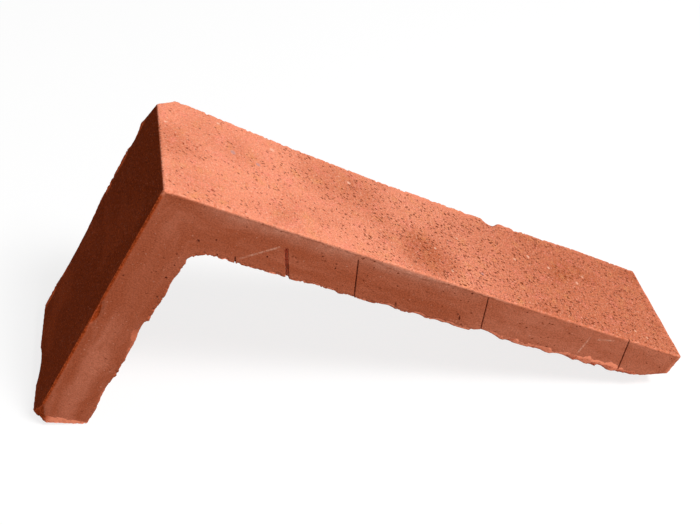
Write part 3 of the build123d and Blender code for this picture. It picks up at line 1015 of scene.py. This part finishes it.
def raw_colour(t, bed):
    """Raw clay with crumbs of two tones, darker about the header, partly with painted shade, and duller
    along the short leg's back.
    """
    raw = t.blend(t.step(t.fine, 0.50, 0.78, 0.0, 0.9), t.shade("broken"), t.shade("long_face_deep"))
    toe = t.blend(t.step(t.fine, 0.42, 0.65), t.shade("toe"), t.shade("short_face"))
    # Painted shade: the toe's broken clay and bed are darkened towards the short face's colour.
    toe_shade = t.most(t.times(t.mask("broken"), 0.6), t.times(t.mask("bed"), 0.45))
    toe = t.paint(toe, toe_shade, "short_face")
    by_header = t.times(t.step(t.u, 2.5, 6.0, 1.0, 0.0), t.step(t.v, 1.0, 3.0))
    raw = t.blend(by_header, raw, toe)
    inner = t.times(t.step(t.u, 9.0, 13.0, 0.0, 0.85), t.window(t.v, 30.0, 100.0, 6.0))
    return t.blend(inner, raw, bed)


def raw_fringe(t):
    """Where raw clay shows along the ends and arrises; the thin line at the front ones is partly raw clay
    and partly painted highlight.
    """
    fringe = t.times(t.mask("end_arris"), 0.8)
    fringe = t.most(fringe, t.times(t.mask("rear_arris"), t.step(t.u, 2.0, 6.0, 1.0, 0.5)))
    fringe = t.times(fringe, t.step(t.grain, 0.40, 0.58, 0.15, 1.0))
    # Painted highlight, partly raw clay: a thin bright line along the front arrises.
    off_arris = t.plus(t.least(t.u, t.v), t.plus(t.w, t.swing(t.fine, 0.6)))
    front_wear_and_highlight = t.times(t.step(off_arris, 0.5, 1.1, 1.0, 0.0), t.step(t.u, 1.0, 4.0, 0.9, 0.22))
    return t.most(fringe, front_wear_and_highlight)


def torn_rim(t):
    """The torn rim of the bed beside the long back, which widens and narrows along it: raw clay painted
    onto the bed, partly the torn clay's own colour and partly painted highlight of the lit rim.
    """
    width = t.plus(t.step(t.u, 22.0, 30.0, -0.2, 0.2), t.step(t.u, 112.0, 138.0, 0.0, 0.5))
    width = t.plus(width, t.step(t.u, 166.0, 184.0, 0.0, 1.1))
    width = t.minus(width, t.step(t.u, 197.0, 203.0, 0.0, 1.6))
    width = t.plus(width, t.swing(t.noise(t.place, 4.0, 4.0, 0.65), 3.6))
    from_torn = t.times(t.minus(1.0, t.mask("torn_rim")), RIM_REACH / MM)
    return t.step(t.minus(from_torn, width), -0.25, 0.15, 1.0, 0.0)


def header_strip(t, height):
    """The ragged strip of raw clay along the rear of the header. The slip's height is in millimetres."""
    reach = t.step(t.noise(t.place, 9.0, 2.0, 0.5), 0.42, 0.58, 0.8, 3.0)
    reach = t.plus(reach, t.swing(t.fine, 2.0))
    from_rear = t.minus(height, t.w)
    strip = t.step(t.minus(from_rear, reach), -0.25, 0.25, 1.0, 0.0)
    return t.times(strip, t.mask("short_face"))


def hollowed(t, base):
    """The base with painted shade inside its pits and grooves."""
    face_pits = placed_spots(t, t.place, FACE_PITS, 0.3)
    bed_pits = placed_spots(t, t.place, BED_PITS, 0.3, on_bed=True)
    # Painted shade inside the pits and the grooves.
    base = t.paint(base, t.times(t.most(face_pits, bed_pits), 0.4), "groove")
    shallow = t.vector("MULTIPLY", t.place, (1.0, 1.0, 0.3))
    for u, v, width, _, run, slant in GROOVES:
        end = (u + run * sin(radians(slant)), v + run * cos(radians(slant)))
        inside = near_line(t, shallow, (u, v), end, width * 0.7)
        base = t.paint(base, t.times(inside, 0.8), "groove")
    return base


def fired_clay(colours, sizes, axes):
    """Procedural material of the fired clay, with its painted shade and highlights, laid out in the slip's
    own axes.
    """
    material = bpy.data.materials.new("fired_clay")
    material.use_nodes = True
    t = ClayTree(material.node_tree, colours, axes)
    bed = bed_colour(t)
    specks = dark_specks(t)
    # The dark specks are painted shade of the pores.
    base = t.paint(dusted(t, sound_colour(t, bed)), specks, "pore")
    base = flecked(t, base)
    strip = header_strip(t, sizes.bed_height / MM)
    foot = t.step(past_foot_break(t, t.place), 0.0, 0.3)
    # Raw clay, with painted highlight in the front arris line and the torn rim.
    broken = t.most(t.mask("broken"), raw_fringe(t), torn_rim(t), strip, foot)
    base = t.blend(broken, base, raw_colour(t, bed))
    base = hollowed(t, base)

    # Relief too fine for the mesh
    height = t.minus(t.times(t.noise(t.place, 0.6, 4.0, 0.7), 0.2), t.times(specks, 0.25))
    bump = t.node("ShaderNodeBump", {"Strength": 1.0, "Distance": MM, "Height": height})
    shader = material.node_tree.nodes["Principled BSDF"]
    t.feed(shader.inputs["Base Color"], base)
    t.feed(shader.inputs["Normal"], bump.outputs[0])
    shader.inputs["Roughness"].default_value = 0.92
    shader.inputs["Specular IOR Level"].default_value = 0.02
    return material


# Stage


def background_rays(t):
    """1 for the rays that show the background: camera, glossy and transmission."""
    path = t.node("ShaderNodeLightPath").outputs
    shown = t.most(path["Is Camera Ray"], path["Is Glossy Ray"])
    return t.most(shown, path["Is Transmission Ray"])


def floor_material():
    """White floor that stays white to the camera and keeps the slip's shadow."""
    material = bpy.data.materials.new("white_floor")
    material.use_nodes = True
    t = Tree(material.node_tree)
    material.node_tree.nodes.clear()
    matt = t.node("ShaderNodeBsdfDiffuse", {"Color": (0.8, 0.8, 0.8, 1.0)})
    faint = t.node("ShaderNodeBsdfDiffuse", {"Color": (0.22, 0.22, 0.22, 1.0)})
    place = t.node("ShaderNodeTexCoord").outputs["Object"]
    far = t.length(place)
    strength = t.step(far, 0.4, 1.2, 0.8, 1.0)
    glow = t.node("ShaderNodeEmission", {"Color": (1.0, 1.0, 1.0, 1.0), "Strength": strength})
    lifted = t.node("ShaderNodeAddShader", {0: faint.outputs[0], 1: glow.outputs[0]})
    seen = t.node("ShaderNodeMixShader", {0: background_rays(t), 1: matt.outputs[0], 2: lifted.outputs[0]})
    t.node("ShaderNodeOutputMaterial", {0: seen.outputs[0]})
    return material


def make_floor():
    """Level white floor under the slip."""
    build = bmesh.new()
    bmesh.ops.create_grid(build, x_segments=1, y_segments=1, size=FLOOR_REACH)
    mesh = finish_mesh(build, "floor")
    mesh.materials.append(floor_material())
    return new_object("floor", mesh)


def light_world(level):
    """World that fills all round at the level, and is white where it is seen."""
    world = bpy.data.worlds.new("studio")
    world.use_nodes = True
    t = Tree(world.node_tree)
    backdrop = world.node_tree.nodes["Background"]
    strength = t.step(background_rays(t), 0.0, 1.0, level, 1.0)
    backdrop.inputs["Color"].default_value = (1.0, 1.0, 1.0, 1.0)
    t.feed(backdrop.inputs["Strength"], strength)
    bpy.context.scene.world = world


def add_lamp(name, target, direction, distance, width, level):
    """A soft square lamp that gives a white surface facing it the level."""
    data = bpy.data.lights.new(name, "AREA")
    data.size = width
    data.energy = level * pi * pi * distance * distance
    toward = Vector(direction).normalized()
    lamp = new_object(name, data)
    lamp.location = target + toward * distance
    lamp.rotation_euler = toward.to_track_quat("Z", "Y").to_euler()


def add_camera(stage, corner):
    """Camera of the photograph, placed from the slip's front outside corner."""
    data = bpy.data.cameras.new("camera")
    data.lens = stage.lens
    data.sensor_width = 36.0
    data.clip_start, data.clip_end = 0.01, 20.0
    camera = new_object("camera", data)
    camera.location = corner + Vector(stage.camera_from_corner)
    camera.rotation_euler = Euler(stage.camera_turn)
    bpy.context.scene.camera = camera


# Operators


class BRICKSLIP_OT_body(bpy.types.Operator):
    """Make the slip's body of fired clay from the CAD solid"""

    bl_idname = "brickslip.body"
    bl_label = "Make Body"

    def execute(self, context):
        scene = context.scene
        sizes, relief = scene.slip_sizes, scene.slip_relief
        axes = slip_axes(sizes)
        clay = fired_clay(scene.slip_colours, sizes, axes)
        solid = new_object("solid_copy", closed_copy(axes))
        body = new_object("slip_body", solid.data.copy())
        remesh = body.modifiers.new("fine_mesh", "REMESH")
        remesh.mode = "VOXEL"
        remesh.voxel_size = relief.mesh_step
        wrap = body.modifiers.new("back_to_solid", "SHRINKWRAP")
        wrap.target = solid
        settle(body)
        bpy.data.objects.remove(solid)
        mark_clay(body.data, sizes)
        add_tree(body, relief_tree(clay), {
            "Wave Size": relief.wave_size, "Wave Depth": relief.wave_depth,
            "Grain Size": relief.grain_size, "Grain Depth": relief.grain_depth,
            "Lip Height": relief.lip_height, "Swell Height": sizes.swell_height,
            "Ragged Size": relief.ragged_size, "Ragged Depth": relief.ragged_depth,
            "Nick Size": relief.nick_size, "Nick Depth": relief.nick_depth,
        })
        settle(body)
        keep_in_block(body.data, sizes)
        thin = body.modifiers.new("fewer_triangles", "DECIMATE")
        triangles = sum(len(face.vertices) - 2 for face in body.data.polygons)
        thin.ratio = min(1.0, relief.triangles / triangles)
        settle(body)
        cut_with(body, "groove_blades", groove_blades())
        cut_with(body, "pit_stones", pit_stones())
        chips = cutting_tree("arris_chips", clay, CHIPPED, elongation=1.5, lift=0.55)
        cut_out(body, sizes, chips, relief.chip_radius, relief.chip_density, relief.seed)
        pores = cutting_tree("open_pores", clay, PORED, elongation=1.3, lift=0.1)
        cut_out(body, sizes, pores, relief.pore_radius, relief.pore_density, relief.seed + 1)
        drop_crumbs(body.data)
        mark_clay(body.data, sizes)
        mark_torn_rim(body.data, sizes)
        body.data.materials.clear()
        body.data.materials.append(clay)
        body.data.transform(axes)
        keep_in_box(body.data, *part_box(NODE))
        body.data.shade_smooth()
        body.data.set_sharp_from_angle(angle=SHARP)
        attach(body, "root")
        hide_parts(NODE)
        return {"FINISHED"}


class BRICKSLIP_OT_stage(bpy.types.Operator):
    """Set up the white floor, the soft lamps and the camera"""

    bl_idname = "brickslip.stage"
    bl_label = "Make Stage"

    def execute(self, context):
        scene = context.scene
        stage = scene.slip_stage
        make_floor()
        light_world(stage.fill_level)
        low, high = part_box(NODE)
        middle = (low + high) / 2
        add_lamp("key_lamp", middle, KEY_DIRECTION, KEY_DISTANCE, KEY_WIDTH, stage.key_level)
        add_camera(stage, slip_axes(scene.slip_sizes).to_translation())
        scene.view_settings.view_transform = "Standard"
        return {"FINISHED"}


class BRICKSLIP_PT_panel(bpy.types.Panel):
    """The slip's sizes, colours and steps"""

    bl_idname = "BRICKSLIP_PT_panel"
    bl_label = "Corner Brick Slip"
    bl_space_type = "VIEW_3D"
    bl_region_type = "UI"
    bl_category = "Brick Slip"

    def draw(self, context):
        layout = self.layout
        for operator in OPERATORS:
            layout.operator(operator.bl_idname)
        for group_name in GROUPS:
            group = getattr(context.scene, group_name)
            box = layout.box()
            box.label(text=group_name.replace("_", " ").capitalize())
            for name in group.__annotations__:
                box.prop(group, name)


GROUPS = {
    "slip_sizes": SlipSizes,
    "slip_relief": SlipRelief,
    "slip_colours": SlipColours,
    "slip_stage": SlipStage,
}
OPERATORS = (BRICKSLIP_OT_body, BRICKSLIP_OT_stage)


def register():
    """Register the classes and put the property groups on the scene."""
    for group_name, group in GROUPS.items():
        bpy.utils.register_class(group)
        setattr(bpy.types.Scene, group_name, PointerProperty(type=group))
    for made in (*OPERATORS, BRICKSLIP_PT_panel):
        bpy.utils.register_class(made)


def unregister():
    """Undo register."""
    for made in (BRICKSLIP_PT_panel, *OPERATORS):
        bpy.utils.unregister_class(made)
    for group_name, group in GROUPS.items():
        delattr(bpy.types.Scene, group_name)
        bpy.utils.unregister_class(group)


def main():
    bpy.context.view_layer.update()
    register()
    bpy.ops.brickslip.body()
    bpy.ops.brickslip.stage()
    bpy.context.view_layer.update()


if __name__ == "__main__":
    main()
